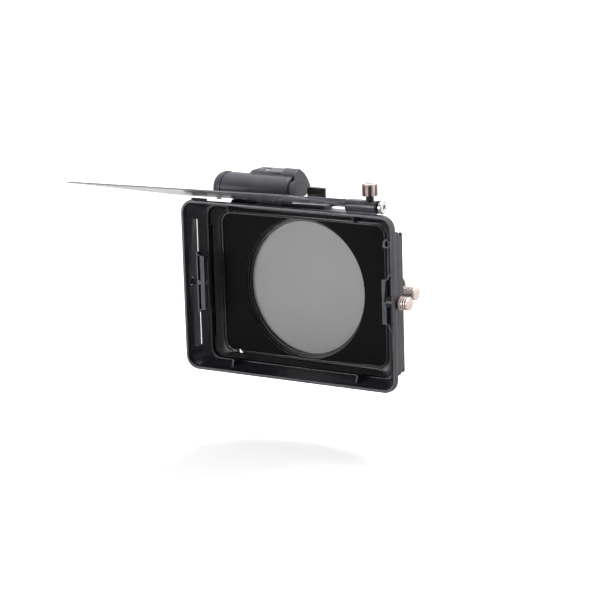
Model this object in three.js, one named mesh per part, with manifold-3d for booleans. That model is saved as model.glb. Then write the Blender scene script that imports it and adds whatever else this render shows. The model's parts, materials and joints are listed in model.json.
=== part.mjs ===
// Matte box: a flared front hood with side filter clamps, an aperture frame, a motor-driven
// round filter cartridge in a slotted rear body, a rear clamp ring and a hinged top flag.
// Lengths are in millimetres. X points to the right seen from the front, Y from the front rim
// to the rear and Z up. The origin is on the lens axis, in the plane of the rear face.
import * as THREE from 'three';
import { mergeVertices } from 'three/addons/utils/BufferGeometryUtils.js';
import Module from 'manifold-3d';

const wasm = await Module();
wasm.setup();

// Clearances
const seatGap = 0.2;
const runningGap = 0.3;
const overrun = 1;

// Front hood: rim, straight lip, then walls that narrow to the throat
const hood = {
  throatWidth: 159.2, throatHeight: 113.8, throatCorner: 8, throatWall: 1.8, flareSide: 9.85, flareTop: 5.7,
  corner: 10, rim: 2.3, bevel: 0.5, lip: 4.1, lipStep: 1.6, depth: 16.2,
};
const hoodWidth = hood.throatWidth + 2 * hood.flareSide;
const hoodHeight = hood.throatHeight + 2 * hood.flareTop;
const throatSide = hood.throatWidth / 2;
// Clamp housings on both sides of the hood, open to the rear
const housing = {
  inset: 1.45, wall: 1.8, rear: 13.8, halfHeight: 50.5, chamfer: 4, windowHalfHeight: 46.8, windowRear: 10.8,
};
const housingFace = hoodWidth / 2 - housing.inset;
const housingInner = housingFace - housing.wall;
// Wedge ribs on the hood's floor and ceiling
const rib = { front: 6, thickness: 2, spread: 53, crest: 54.4 };

// Side clamps: a jaw pushed inwards by a screw
const clamp = {
  axisDepth: 8, axisHeight: 1, screwRadius: 1.6, socketDepth: 2.9, plate: 3.5, plateDepth: 5.2, slit: 2,
    strip: 1.2,
  bushRadius: 4.7, bushLength: 5.4, flangeRadius: 3.9, flange: 0.9,
};
// A jaw's face stands further in than the throat's side, by its reach
const rightJaw = { reach: 3.2, faceHalf: 15.8, backHalf: 20.6 };
const leftJaw = { reach: 5.3, faceHalf: 19.9, backHalf: 22.6, webHalf: 1.6 };
rightJaw.face = throatSide - rightJaw.reach;
leftJaw.face = throatSide - leftJaw.reach;
const clampKnob = {
  radius: 4.65, stand: 1.5, length: 7.9, groove: 0.45, grooveWidth: 0.6, grooveCount: 4, bevel: 0.5,
};
clampKnob.start = housingFace + clampKnob.stand;
clampKnob.end = clampKnob.start + clampKnob.length;
const setScrew = { headRadius: 2.6, head: 1.6, hexRadius: 1.4, hexDepth: 1.1, bossRadius: 2.1, boss: 2.6 };

// Spring latch that keeps a square filter down
const latch = {
  front: 6, thickness: 3.4, pinOut: 4.9, pinHeight: 42.2, pinRadius: 0.8, eyeRadius: 1.6,
  ringOut: 1.2, ringRadius: 3.1, holeRadius: 1.5, noseIn: 0.8, noseDrop: 1.6, noseRadius: 1.6,
  lug: 1.3, lugGap: 0.4, lugOut: 3.6, lugHalf: 1.9,
};
latch.pinSide = throatSide + latch.pinOut;
latch.ringSide = throatSide + latch.ringOut;
latch.noseSide = throatSide - latch.noseIn;
latch.lugSide = throatSide + latch.lugOut;

// Aperture frame: second narrowing step, groove, bead and the plate with the round opening
const aperture = {
  mouthWidth: 153.8, mouthHeight: 112.6, mouthCorner: 7.6, mouthDepth: 3.2, outerWidth: 159.6,
  ledgeWidth: 144, ledgeHeight: 105.4, ledgeCorner: 9.4, ledgeDepth: 6.2,
  grooveWidth: 2.3, beadWidth: 1.1, grooveDepth: 1,
  windowWidth: 137, windowHeight: 101, windowCorner: 7.6, windowDepth: 7.5,
  plate: 2, holeRadius: 51, rearWidth: 150, rearHeight: 113, rearCorner: 10,
  notchWidth: 4.6, notchHeight: 2.6, notchSide: 57,
  pocketHalfHeight: 41.5, pocketDepth: 1.6, pocketStart: 0.9, pocketRun: 3.4,
};
const flock = { thickness: 0.5, inset: 0.4 };

// Rear body: a frame with a slot for the cartridge, open at its front and top
const body = {
  halfWidth: 66, top: 60.2, bottom: -60.5, lowerChamfer: 16,
  shoulderStart: 36, shoulderSide: 54.9, shoulderHeight: 51.6, stepSide: 8.5, leftSide: -62, leftStart: 54,
  slotHalfWidth: 59, slotBottom: -57, slotChamfer: 12, slotDepth: 13, rearWall: 3, boreRadius: 46.5,
};
// Rear clamp ring
const rearRing = {
  radius: 48.2, boreRadius: 43, flangeRadius: 51.6, flange: 2.8, length: 15, split: 3, splitDepth: 11,
  earHeight: 16, earWidth: 7, earLength: 9, screwRadius: 2, headRadius: 3.4, head: 3, hexRadius: 1.7,
    hexDepth: 1.6,
};
const ringScrew = { radius: 1.5, head: 1.2, circle: 49.9, hexRadius: 0.8, hexDepth: 0.8, count: 4 };

// Cartridge: the frame that slides in the body's slot, with its rings and glass
const cartridge = {
  halfWidth: 58.5, bottom: -56.5, top: 57.4, chamfer: 12, upperChamfer: 8, depth: 12.2,
  frontLip: 0.9, lipRadius: 50.2, rearLip: 1.4, rearLipRadius: 48.8,
};
const gears = {
  pitchUnit: 1.2, ringToothCount: 88, idlerToothCount: 16, motorToothCount: 9, width: 3.6,
  backlash: 0.24, offset: -30, idlerBore: 1.2, meshGap: 0.15,
  addendumShare: 0.62, dedendumShare: 0.78, tipShare: 0.3, rootShare: 0.66,
};
const filter = { ringBore: 48.5, glass: 2, glassSeat: 0.9, ringFront: 2.2, fixedRing: 3.6, groove: 0.8 };
const rail = { left: -67.2, right: 17, rise: 1.9, depth: 16, grip: 9.6, gripLeft: -1.5, gripRight: 12.9,
  gripSetback: 6.9, gripDepth: 4.1 };

// Drive unit on the cartridge's rail
const unit = {
  left: -77.1, right: -9.3, front: 21, rear: 52, base: 1.4, wall: 1.2, tubeRadius: 11.5, tubeRise: 3.6,
  capLength: 8.2, capSwell: 0.6, capRound: 5, rimStart: -13.2, rimEnd: -11.8, faceStart: -9.9,
    grooveSink: 3.2, faceSink: 2.2,
};
// Hoods over the tube's rear: a rounded hump on the right and a flatter deck left of it
const hump = {
  left: -22, right: -10.3, front: 31, rear: 52, frontRise: 19.9, rearRise: 19.9,
  frontRun: 6.5, frontFall: 4.6, frontBulgeShare: 0.5, rearRun: 14, rearFall: 14.6, rearBulgeShare: 0.41,
};
const deck = {
  left: -51, right: -21, front: 34, rear: 52, frontRise: 17.2, rearRise: 17.9, endRound: 4,
  frontRun: 1.6, frontFall: 1.6, frontBulgeShare: 1, rearRun: 6, rearFall: 6, rearBulgeShare: 1,
};
const battery = { radius: 6, length: 26, inset: 2.5 };
const motor = { radius: 5.5, length: 14, shaftRadius: 0.9, gap: 1 };
const board = { thickness: 1, width: 9.3, length: 20 };
const button = { x: -39.5, depth: 40.5, radius: 2.6, rise: 16.9, travel: 0.6, stem: 1.8 };

// Side lock: knurled knob, screw and pad that hold the cartridge down
const lock = {
  depth: 33.4, height: 2.4, knobRadius: 4.75, knobLength: 10.4, knobEnd: 88, bevel: 1, smooth: 2.6,
    ridgeCount: 20, ridge: 0.35,
  shaftRadius: 2, collarRadius: 3.8, collarLength: 5.6, padRadius: 3, pad: 1.4,
};
const lever = {
  depth: 39.9, thickness: 2.4, pivotSide: 70.2, pivotHeight: 0.6, eyeRadius: 3.2, pinRadius: 1.1,
  arcSide: 66.3, arcHeight: 6, arcRadius: 9.35, arcFromAngle: -15, arcToAngle: 82, arcSteps: 14, clear: 0.9,
  earGap: 0.3, ear: 0.9, earRadius: 2.8,
};

// Hinge of the top flag
const hinge = {
  depth: 4, height: 67.9, barrelInset: 14.05, barrelLength: 24, barrelRadius: 4.85, flat: 3.9,
  footWidth: 6.4, rodRadius: 2.2, barInset: 23.45, barHeight: 2.9, barDepth: 3.1, barGap: 0.4,
  barLip: 1.6, barDrop: 2.6, lipLength: 47, washer: 0.9, washerRadius: 4.3, washerGap: 1.4,
  discRadius: 4.85, disc: 2.9, discBevel: 0.6, hexRadius: 1.7, hexDepth: 1.6,
};
hinge.barrelRight = hoodWidth / 2 - hinge.barrelInset;
hinge.barrelLeft = hinge.barrelRight - hinge.barrelLength;
hinge.barRight = hinge.barrelLeft - hinge.barGap;
hinge.barLeft = hinge.barInset - hoodWidth / 2;
// Top flag: its left edge stands past the hood, its right edge starts beside the barrel
const flag = {
  riseAngle: 13.1, droopAngle: 0.9, thickness: 0.9, drop: 0.9, overLeft: 3.55, flareLeft: 20.8,
  besideBarrel: 2.2, flareRight: 20.2, length: 106.5, rearOverhang: 2, corner: 3, rearCorner: 9,
};
flag.rearLeft = -hoodWidth / 2 - flag.overLeft;
flag.frontLeft = flag.rearLeft - flag.flareLeft;
flag.rearRight = hinge.barrelLeft - flag.besideBarrel;
flag.frontRight = flag.rearRight + flag.flareRight;
const flagScrew = { radius: 1.9, head: 0.9, insets: [13, 60, 108] };
const thumb = {
  inset: 5.9, neckRadius: 2.8, neck: 3.1, headRadius: 5.5, head: 8.8, crown: 1.3, crownRadius: 3, bevel: 0.7,
  fluteCount: 6, fluteAngle: -56.4, fluteRadius: 2.5, fluteSink: 1.1, stemRadius: 1.5, bore: 0.25,
};
thumb.side = hinge.barrelRight - thumb.inset;
const pad = { inset: 9.45, width: 12.4, rise: 1.2, depth: 3 };

const bodyFront = hood.depth + seatGap + aperture.windowDepth + aperture.plate + seatGap;
const bodyRear = bodyFront + body.slotDepth + body.rearWall;
const ringRear = bodyRear + seatGap + rearRing.length;

// Finishes
function finish(color, roughness, metalness) {
  return new THREE.MeshStandardMaterial({ color, roughness, metalness });
}
const moulded = finish(0x35353a, 0.55, 0);
const anodised = finish(0x2c2c30, 0.45, 0.6);
const blackSteel = finish(0x1d1d20, 0.4, 0.8);
const flocking = finish(0x121212, 1, 0);
const copper = finish(0xc9a79b, 0.3, 1);
const chrome = finish(0xe4e4e6, 0.15, 1);
const carbon = finish(0x26262a, 0.15, 0.1);
const rubber = finish(0x18181a, 0.9, 0);
const smokedGlass = new THREE.MeshStandardMaterial({ color: 0x6e6c6c, roughness: 0.05, transparent: true,
  opacity: 0.6 });
const unitShell = finish(0x57575c, 0.5, 0);
const cellSteel = finish(0x9a9aa0, 0.35, 0.8);
const boardGreen = finish(0x1f5a3c, 0.6, 0);

const roundSides = 40;
const fineSides = 72;
const smallSides = 20;
const cornerSteps = 6;

// Manifold solid of a closed geometry, turned right side out if its faces point inwards
function solidOf(geometry) {
  const bare = geometry.index ? geometry.toNonIndexed() : geometry.clone();
  bare.deleteAttribute('normal');
  bare.deleteAttribute('uv');
  const merged = mergeVertices(bare);
  const place = merged.attributes.position.array;
  const faces = [];
  let volume = 0;
  const a = new THREE.Vector3();
  const b = new THREE.Vector3();
  const c = new THREE.Vector3();
  for (let i = 0; i < merged.index.count; i += 3) {
    const [p, q, r] = [0, 1, 2].map((k) => merged.index.getX(i + k));
    if (p === q || q === r || p === r) continue;
    a.fromArray(place, p * 3);
    b.fromArray(place, q * 3);
    c.fromArray(place, r * 3);
    volume += a.dot(b.cross(c));
    faces.push([p, q, r]);
  }
  const outward = faces.map(([p, q, r]) => (volume > 0 ? [p, q, r] : [p, r, q]));
  const mesh = new wasm.Mesh({
    numProp: 3, vertProperties: Float32Array.from(place), triVerts: Uint32Array.from(outward.flat()),
  });
  return new wasm.Manifold(mesh);
}

function geometryOf(solid) {
  const mesh = solid.getMesh();
  const geometry = new THREE.BufferGeometry();
  geometry.setAttribute('position', new THREE.BufferAttribute(mesh.vertProperties, 3));
  geometry.setIndex(new THREE.BufferAttribute(mesh.triVerts, 1));
  geometry.computeVertexNormals();
  return geometry;
}

// Block between two corners
function block([x0, y0, z0], [x1, y1, z1]) {
  const geometry = new THREE.BoxGeometry(x1 - x0, y1 - y0, z1 - z0);
  geometry.translate((x0 + x1) / 2, (y0 + y1) / 2, (z0 + z1) / 2);
  return solidOf(geometry);
}

// The third direction of an outline's plane and its extrusion: along X the outline is in Y and Z,
// along Y in X and Z, along Z in X and Y
const axes = {
  x: new THREE.Vector3(1, 0, 0), y: new THREE.Vector3(0, 1, 0), z: new THREE.Vector3(0, 0, 1),
};
const planes = { x: [axes.y, axes.z], y: [axes.x, axes.z], z: [axes.x, axes.y] };

function prism(axis, outline, start, end, steps = cornerSteps) {
  const geometry = new THREE.ExtrudeGeometry(outline,
    { depth: end - start, bevelEnabled: false, curveSegments: steps });
  geometry.translate(0, 0, start);
  geometry.applyMatrix4(new THREE.Matrix4().makeBasis(...planes[axis], axes[axis]));
  return solidOf(geometry);
}

// Body of revolution along an axis, from [radius, place] pairs that begin and end on the axis
function turned(axis, profile, centre, sides = roundSides) {
  const geometry = new THREE.LatheGeometry(profile.map(([r, h]) => new THREE.Vector2(r, h)), sides);
  const [u, v] = planes[axis];
  geometry.applyMatrix4(new THREE.Matrix4().makeBasis(u, axes[axis], v));
  geometry.translate(...centre);
  return solidOf(geometry);
}

function shaft(axis, radius, start, end, centre, sides = roundSides) {
  return turned(axis, [[0, start], [radius, start], [radius, end], [0, end]], centre, sides);
}

// Corner points of a rounded rectangle, the same number for every size
function roundedLoop(width, height, corner) {
  const points = [];
  const right = width / 2 - corner;
  const top = height / 2 - corner;
  [[right, top], [-right, top], [-right, -top], [right, -top]].forEach(([u, v], quarter) => {
    for (let step = 0; step <= cornerSteps; step += 1) {
      const turn = (quarter + step / cornerSteps) * Math.PI / 2;
      points.push([u + corner * Math.cos(turn), v + corner * Math.sin(turn)]);
    }
  });
  return points;
}

function outlineOf(points) {
  return new THREE.Shape(points.map(([u, v]) => new THREE.Vector2(u, v)));
}

// Solid through closed loops with the same number of points
function skinned(loops) {
  const count = loops[0].length;
  const index = [];
  for (let ring = 0; ring + 1 < loops.length; ring += 1) {
    for (let i = 0; i < count; i += 1) {
      const next = (i + 1) % count;
      const here = ring * count;
      index.push(here + i, here + next, here + count + next);
      index.push(here + i, here + count + next, here + count + i);
    }
  }
  const last = (loops.length - 1) * count;
  for (let i = 1; i + 1 < count; i += 1) {
    index.push(0, i + 1, i, last, last + i, last + i + 1);
  }
  const geometry = new THREE.BufferGeometry();
  geometry.setAttribute('position', new THREE.Float32BufferAttribute(loops.flat(2), 3));
  geometry.setIndex(index);
  return solidOf(geometry);
}

// Solid through rounded rectangles { y, width, height, corner } from front to rear
function loft(rings) {
  return skinned(rings.map(({ y, width, height, corner }) =>
    roundedLoop(width, height, corner).map(([x, z]) => [x, y, z])));
}

function joined(solids) {
  return solids.reduce((whole, piece) => whole.add(piece));
}

function cutBy(solid, cutters) {
  return cutters.reduce((rest, cutter) => rest.subtract(cutter), solid);
}

const box = new THREE.Group();
box.name = 'matte_box';
box.position.y = -ringRear;

function addPart(name, solid, material, parent = box) {
  const mesh = new THREE.Mesh(geometryOf(solid), material);
  mesh.name = name;
  parent.add(mesh);
  return mesh;
}

const clampCentre = [0, clamp.axisDepth, clamp.axisHeight];
const hexagon = 6;
function hexSocket(axis, radius, start, end, centre) {
  return shaft(axis, radius, start, end, centre, hexagon);
}

// Front hood
function hoodOuter() {
  const step = 2 * hood.lipStep;
  const wall = 2 * hood.throatWall;
  const lip = { width: hoodWidth, height: hoodHeight, corner: hood.corner };
  return joined([
    loft([
      { y: 0, width: hoodWidth - 2 * hood.bevel, height: hoodHeight - 2 * hood.bevel,
        corner: hood.corner - hood.bevel },
      { y: hood.bevel, ...lip },
      { y: hood.lip, ...lip },
    ]),
    loft([
      { y: hood.bevel, width: hoodWidth - step, height: hoodHeight - step,
        corner: hood.corner - hood.lipStep },
      { y: hood.lip, width: hoodWidth - step, height: hoodHeight - step, corner: hood.corner - hood.lipStep },
      {
        y: hood.depth, width: hood.throatWidth + wall, height: hood.throatHeight + wall,
        corner: hood.throatCorner + hood.throatWall,
      },
    ]),
  ]);
}

function hoodVoid() {
  const rim = 2 * hood.rim;
  const mouth = { width: hoodWidth - rim, height: hoodHeight - rim, corner: hood.corner - hood.rim };
  const throat = { width: hood.throatWidth, height: hood.throatHeight, corner: hood.throatCorner };
  return loft([
    { y: -overrun, ...mouth },
    { y: hood.lip, ...mouth },
    { y: hood.depth, ...throat },
    { y: hood.depth + overrun, ...throat },
  ]);
}

function housingOutline(halfHeight, front, rear, chamfer) {
  return outlineOf([
    [front, -halfHeight], [rear - chamfer, -halfHeight], [rear, -halfHeight + chamfer],
    [rear, halfHeight - chamfer], [rear - chamfer, halfHeight], [front, halfHeight],
  ]);
}


function sideHousing(side) {
  const outer = prism('x', housingOutline(housing.halfHeight, hood.lip - seatGap, housing.rear,
    housing.chamfer),
    side > 0 ? throatSide : -housingFace, side > 0 ? housingFace : -throatSide);
  const pocket = prism('x', housingOutline(housing.windowHalfHeight, hood.lip,
    housing.rear + overrun + housing.chamfer,
    housing.chamfer), side > 0 ? throatSide - overrun : -housingInner,
      side > 0 ? housingInner : overrun - throatSide);
  return outer.subtract(pocket);
}

// Window through the slanted side wall into the housing, and the free edge behind it
function hoodWindow(side) {
  const share = (housing.windowRear - hood.lip) / (hood.depth - hood.lip);
  const mouthSide = hoodWidth / 2 - hood.rim;
  const edge = mouthSide + (throatSide - mouthSide) * share;
  const front = spanBlock('x', side * (throatSide - overrun), side * housingInner,
    [hood.lip, housing.windowRear],
    housing.windowHalfHeight);
  const behind = spanBlock('x', side * edge, side * housingInner, [hood.lip, hood.depth + overrun],
    housing.windowHalfHeight);
  return front.add(behind);
}

function spanBlock(axis, from, to, [front, rear], halfHeight) {
  return block([Math.min(from, to), front, -halfHeight], [Math.max(from, to), rear, halfHeight]);
}

function hoodRib(sideX, sideZ) {
  const x = sideX * rib.spread;
  const outerZ = hoodHeight / 2 - hood.rim - seatGap;
  const outline = outlineOf([
    [rib.front, sideZ * outerZ], [rib.front + rib.thickness, sideZ * rib.crest],
    [hood.depth, sideZ * rib.crest], [hood.depth, sideZ * (hood.throatHeight / 2 + hood.throatWall / 2)],
  ]);
  return prism('x', outline, x - rib.thickness / 2, x + rib.thickness / 2);
}

function bushHole(side) {
  const radius = side > 0 ? clamp.flangeRadius - clamp.flange + runningGap : setScrew.headRadius + runningGap;
  const start = side > 0 ? housingInner - overrun : -housingFace - overrun;
  return shaft('x', radius, start, start + housing.wall + 2 * overrun, clampCentre);
}

// Lugs in the right housing that carry the latch pin
function latchLugs() {
  const front = latch.front - latch.lugGap;
  const rear = latch.front + latch.thickness + latch.lugGap;
  const lug = (y) => block([latch.lugSide, y, latch.pinHeight - latch.lugHalf],
    [housingInner + housing.wall / 2, y + latch.lug, latch.pinHeight + latch.lugHalf]);
  const hole = shaft('y', latch.pinRadius + seatGap / 2, front - latch.lug - overrun,
    rear + latch.lug + overrun,
    [latch.pinSide, 0, latch.pinHeight], smallSides);
  return lug(front - latch.lug).add(lug(rear)).subtract(hole);
}

function buildHood() {
  let shell = hoodOuter().add(sideHousing(1)).add(sideHousing(-1)).subtract(hoodVoid());
  const relief = shaft('x', clamp.bushRadius + runningGap, throatSide - overrun, housingInner, clampCentre);
  shell = cutBy(shell, [hoodWindow(1), hoodWindow(-1), relief, bushHole(1), bushHole(-1)]);
  const ribs = [[-1, -1], [1, -1], [-1, 1], [1, 1]].map(([x, z]) => hoodRib(x, z));
  addPart('front_hood', joined([shell, ...ribs, latchLugs()]), moulded);
}

// Side clamps. Each jaw is a trapezoid seen from the front, with its long side outwards
function jawOutline(side, jaw) {
  const face = side * jaw.face;
  const plateBack = face + side * clamp.plate;
  const back = plateBack + side * (clamp.slit + clamp.strip);
  const low = clamp.axisHeight - jaw.faceHalf;
  const high = clamp.axisHeight + jaw.faceHalf;
  return outlineOf([
    [face, low], [plateBack, low], [back, clamp.axisHeight - jaw.backHalf],
    [back, clamp.axisHeight + jaw.backHalf], [plateBack, high], [face, high],
  ]);
}

const jawFront = clamp.axisDepth - clamp.plateDepth / 2;
const jawRear = clamp.axisDepth + clamp.plateDepth / 2;

function jawSocket(side, jaw) {
  const plateBack = jaw.face + clamp.plate;
  const reach = [plateBack - clamp.socketDepth, plateBack + clamp.slit + clamp.strip + overrun];
  const [from, to] = reach.map((x) => side * x).sort((p, q) => p - q);
  return shaft('x', clamp.screwRadius + runningGap, from, to, clampCentre, smallSides);
}

function buildRightJaw() {
  const plateBack = rightJaw.face + clamp.plate;
  const back = plateBack + clamp.slit + clamp.strip;
  const plate = prism('y', jawOutline(1, rightJaw), jawFront, jawRear);
  const inner = rightJaw.faceHalf - clamp.strip / 2;
  const outer = rightJaw.backHalf - clamp.strip / 2;
  const gap = prism('y', outlineOf([
    [plateBack, clamp.axisHeight - inner], [back + overrun, clamp.axisHeight - outer],
    [back + overrun, clamp.axisHeight + outer], [plateBack, clamp.axisHeight + inner],
  ]), jawFront - overrun, jawRear + overrun);
  addPart('clamp_jaw_right', cutBy(plate, [gap, jawSocket(1, rightJaw)]), anodised);
}

function buildLeftJaw() {
  const plateBack = -leftJaw.face - clamp.plate;
  const plate = prism('y', jawOutline(-1, leftJaw), jawFront, jawRear);
  const windows = [-1, 1].map((up) => {
    const ends = [up * leftJaw.webHalf, up * leftJaw.faceHalf].sort((p, q) => p - q);
    return block([plateBack - clamp.slit, jawFront - overrun, clamp.axisHeight + ends[0]],
      [plateBack, jawRear + overrun, clamp.axisHeight + ends[1]]);
  });
  addPart('clamp_jaw_left', cutBy(plate, [...windows, jawSocket(-1, leftJaw)]), anodised);
}

function buildRightClamp() {
  const bushEnd = housingInner - runningGap - clamp.bushLength;
  const flangeEnd = housingFace + seatGap + clamp.flange;
  const sleeve = clamp.flangeRadius - clamp.flange;
  const bush = turned('x', [
    [0, bushEnd], [clamp.bushRadius, bushEnd], [clamp.bushRadius, housingInner - seatGap],
    [sleeve, housingInner - seatGap], [sleeve, housingFace + seatGap],
    [clamp.flangeRadius, housingFace + seatGap], [clamp.flangeRadius, flangeEnd], [0, flangeEnd],
  ], clampCentre);
  const bore = shaft('x', clamp.screwRadius + runningGap / 2, bushEnd - overrun, flangeEnd + overrun,
    clampCentre, smallSides);
  addPart('clamp_bush_right', bush.subtract(bore), blackSteel);
  const tip = rightJaw.face + clamp.plate - clamp.socketDepth + runningGap;
  addPart('clamp_screw_right', shaft('x', clamp.screwRadius, tip, clampKnob.start + clampKnob.bevel,
    clampCentre, smallSides),
    blackSteel);
  const seat = shaft('x', clamp.screwRadius + seatGap, clampKnob.start - overrun,
    clampKnob.start + clampKnob.bevel + seatGap,
    clampCentre, smallSides);
  addPart('clamp_knob_right', turned('x', knobProfile(), clampCentre).subtract(seat), copper);
}

function knobProfile() {
  const { radius, start, end, bevel, groove, grooveWidth, grooveCount } = clampKnob;
  const profile = [[0, start], [radius - bevel, start]];
  const first = start + bevel;
  for (let i = 0; i < grooveCount; i += 1) {
    const at = first + i * 2 * grooveWidth;
    profile.push([radius, at], [radius, at + grooveWidth]);
    profile.push([radius - groove, at + grooveWidth], [radius - groove, at + 2 * grooveWidth]);
  }
  profile.push([radius, first + grooveCount * 2 * grooveWidth], [radius, end - bevel]);
  profile.push([radius - bevel, end], [0, end]);
  return profile;
}

function buildLeftClamp() {
  const outer = -housingFace;
  const tip = -(leftJaw.face + clamp.plate - clamp.socketDepth + runningGap);
  const bossEnd = -housingInner + setScrew.boss;
  const screw = turned('x', [
    [0, outer], [setScrew.headRadius, outer], [setScrew.headRadius, outer + setScrew.head],
    [setScrew.bossRadius, outer + setScrew.head], [setScrew.bossRadius, bossEnd],
    [clamp.screwRadius, bossEnd], [clamp.screwRadius, tip], [0, tip],
  ], clampCentre, smallSides);
  const hex = hexSocket('x', setScrew.hexRadius, outer - overrun, outer + setScrew.hexDepth, clampCentre);
  addPart('jaw_screw_left', screw.subtract(hex), blackSteel);
}

// Latch on the right side above the jaw: a ring with a nose, turning on a pin between two lugs
function buildLatch() {
  const rear = latch.front + latch.thickness;
  const disc = (radius, x, z) => shaft('y', radius, latch.front, rear, [x, 0, z], smallSides);
  const arm = block([latch.ringSide, latch.front, latch.pinHeight - latch.eyeRadius],
    [latch.pinSide, rear, latch.pinHeight + latch.eyeRadius]);
  const pinHole = shaft('y', latch.pinRadius + seatGap / 2, latch.front - overrun, rear + overrun,
    [latch.pinSide, 0, latch.pinHeight], smallSides);
  const opening = shaft('y', latch.holeRadius, latch.front - overrun, rear + overrun,
    [latch.ringSide, 0, latch.pinHeight], smallSides);
  addPart('filter_latch', cutBy(joined([
    disc(latch.ringRadius, latch.ringSide, latch.pinHeight),
      disc(latch.eyeRadius, latch.pinSide, latch.pinHeight), arm,
    disc(latch.noseRadius, latch.noseSide, latch.pinHeight - latch.noseDrop),
  ]), [pinHole, opening]), moulded);
  const reach = latch.lugGap + latch.lug;
  addPart('latch_pin', shaft('y', latch.pinRadius, latch.front - reach, rear + reach,
    [latch.pinSide, 0, latch.pinHeight], smallSides), blackSteel);
}

// Aperture frame
const frameFront = hood.depth + seatGap;
const plateFront = frameFront + aperture.windowDepth;
const plateRear = plateFront + aperture.plate;

function frameOuter() {
  const wall = 2 * hood.throatWall;
  return loft([
    {
      y: frameFront, width: hood.throatWidth + wall, height: hood.throatHeight + wall,
      corner: hood.throatCorner + hood.throatWall,
    },
    {
      y: frameFront + aperture.mouthDepth, width: aperture.outerWidth, height: hood.throatHeight + wall,
      corner: hood.throatCorner + hood.throatWall,
    },
    { y: plateRear, width: aperture.rearWidth, height: aperture.rearHeight, corner: aperture.rearCorner },
  ]);
}

function frameVoid() {
  const mouth = { width: aperture.mouthWidth, height: aperture.mouthHeight, corner: aperture.mouthCorner };
  const ledge = { width: aperture.ledgeWidth, height: aperture.ledgeHeight, corner: aperture.ledgeCorner };
  return loft([
    { y: frameFront - overrun, ...mouth },
    { y: frameFront + aperture.mouthDepth, ...mouth },
    { y: frameFront + aperture.ledgeDepth, ...ledge },
  ]);
}

function windowOutline(grow = 0) {
  return outlineOf(roundedLoop(aperture.windowWidth + 2 * grow, aperture.windowHeight + 2 * grow,
    aperture.windowCorner + grow));
}

function frameGroove() {
  const ledge = frameFront + aperture.ledgeDepth;
  const outer = prism('y', windowOutline(aperture.grooveWidth), ledge - overrun,
    ledge + aperture.grooveDepth);
  const bead = prism('y', windowOutline(aperture.beadWidth), ledge - 2 * overrun, ledge + 2 * overrun);
  return outer.subtract(bead);
}

function framePocket(side) {
  const wide = aperture.mouthWidth / 2;
  const start = frameFront + aperture.pocketStart;
  return spanBlock('x', side * (wide - overrun), side * (wide + aperture.pocketDepth),
    [start, start + aperture.pocketRun],
    aperture.pocketHalfHeight);
}

function buildApertureFrame() {
  const window = prism('y', windowOutline(), frameFront + aperture.ledgeDepth - overrun, plateFront);
  const hole = shaft('y', aperture.holeRadius, frameFront, plateRear + overrun, [0, 0, 0], fineSides);
  const low = -aperture.windowHeight / 2;
  const notch = block(
    [-aperture.notchSide - aperture.notchWidth / 2, frameFront + aperture.mouthDepth,
      low - aperture.notchHeight],
    [-aperture.notchSide + aperture.notchWidth / 2, plateRear + overrun, low]);
  const frame = cutBy(frameOuter(),
    [frameVoid(), frameGroove(), framePocket(-1), framePocket(1), window, hole, notch]);
  addPart('aperture_frame', frame, moulded);
}

// Flocked pads left and right of the round opening
function buildFlocks() {
  const sheet = prism('y', windowOutline(-flock.inset), plateFront - seatGap / 2 - flock.thickness,
    plateFront - seatGap / 2);
  const hole = shaft('y', aperture.holeRadius + flock.inset, frameFront, plateRear, [0, 0, 0], fineSides);
  const rest = sheet.subtract(hole);
  const half = block([0, frameFront, -hoodHeight], [hoodWidth, plateRear, hoodHeight]);
  addPart('flock_pad_right', rest.intersect(half), flocking);
  addPart('flock_pad_left', rest.subtract(half), flocking);
}

// Rear body
const slotRear = bodyFront + body.slotDepth;

function buildBody() {
  const shell = prism('y', outlineOf([
    [body.halfWidth - body.lowerChamfer, body.bottom], [body.halfWidth, body.bottom + body.lowerChamfer],
    [body.halfWidth, body.shoulderStart], [body.shoulderSide, body.shoulderHeight],
    [body.stepSide, body.shoulderHeight], [body.stepSide, body.top],
    [body.leftSide, body.top], [-body.halfWidth, body.leftStart],
    [-body.halfWidth, body.bottom + body.lowerChamfer], [body.lowerChamfer - body.halfWidth, body.bottom],
  ]), bodyFront, bodyRear);
  const slot = prism('y', outlineOf([
    [body.slotHalfWidth - body.slotChamfer, body.slotBottom],
      [body.slotHalfWidth, body.slotBottom + body.slotChamfer],
    [body.slotHalfWidth, body.top + overrun], [-body.slotHalfWidth, body.top + overrun],
    [-body.slotHalfWidth, body.slotBottom + body.slotChamfer],
      [body.slotChamfer - body.slotHalfWidth, body.slotBottom],
  ]), bodyFront - overrun, slotRear);
  const bore = shaft('y', body.boreRadius, slotRear - overrun, bodyRear + overrun, [0, 0, 0], fineSides);
  const lockHole = shaft('x', lock.padRadius + runningGap, body.slotHalfWidth - overrun,
    body.halfWidth + overrun,
    [0, lock.depth, lock.height], smallSides);
  addPart('rear_body', cutBy(shell, [slot, bore, lockHole]), anodised);
}

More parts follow.
